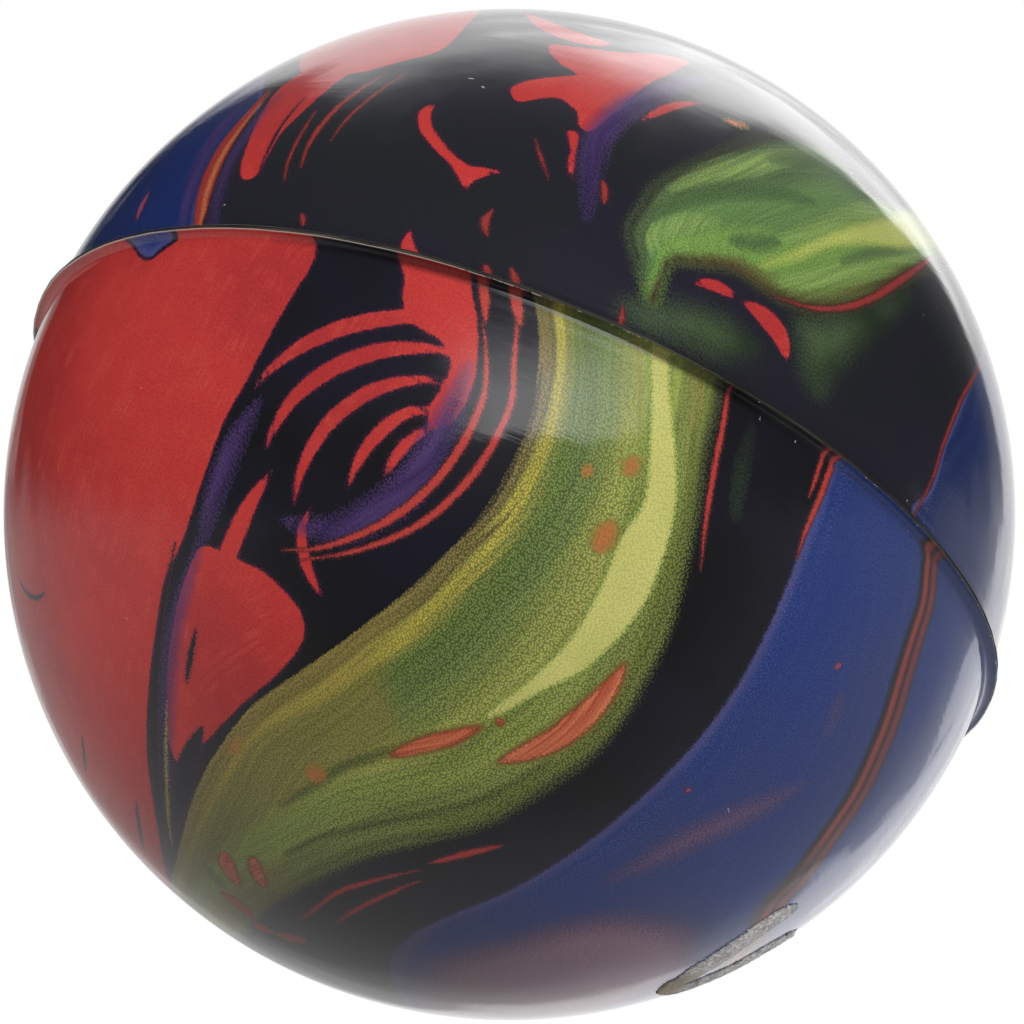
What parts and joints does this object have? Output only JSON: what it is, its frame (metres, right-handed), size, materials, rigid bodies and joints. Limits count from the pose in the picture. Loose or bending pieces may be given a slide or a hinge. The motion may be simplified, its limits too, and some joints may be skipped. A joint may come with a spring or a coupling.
{
  "type": "bouncy ball",
  "caption": "Hollow bouncing ball with a printed glossy skin in two cups that meet in a raised seam round its middle.",
  "frame": {"origin": "the ball's centre", "axes": "+Z along the axis square to the seam plane, towards the half without the port; +X near the port's side"},
  "size_m": [0.0612, 0.0612, 0.06],
  "materials": {
    "upper_film": "printed film, clear gloss",
    "lower_film": "printed film, clear gloss",
    "core_rubber": "moulded, matt",
    "joint_cement": "dried cement, satin",
    "plug_rubber": "moulded, matt",
    "seal_cement": "dried cement, rough"
  },
  "bodies": {
    "root": {"upper_skin": "upper_film", "lower_skin": "lower_film", "upper_core_half": "core_rubber", "lower_core_half": "core_rubber", "joint_cement": "joint_cement", "port_plug": "plug_rubber", "port_seal": "seal_cement"}
  },
  "joints": []
}
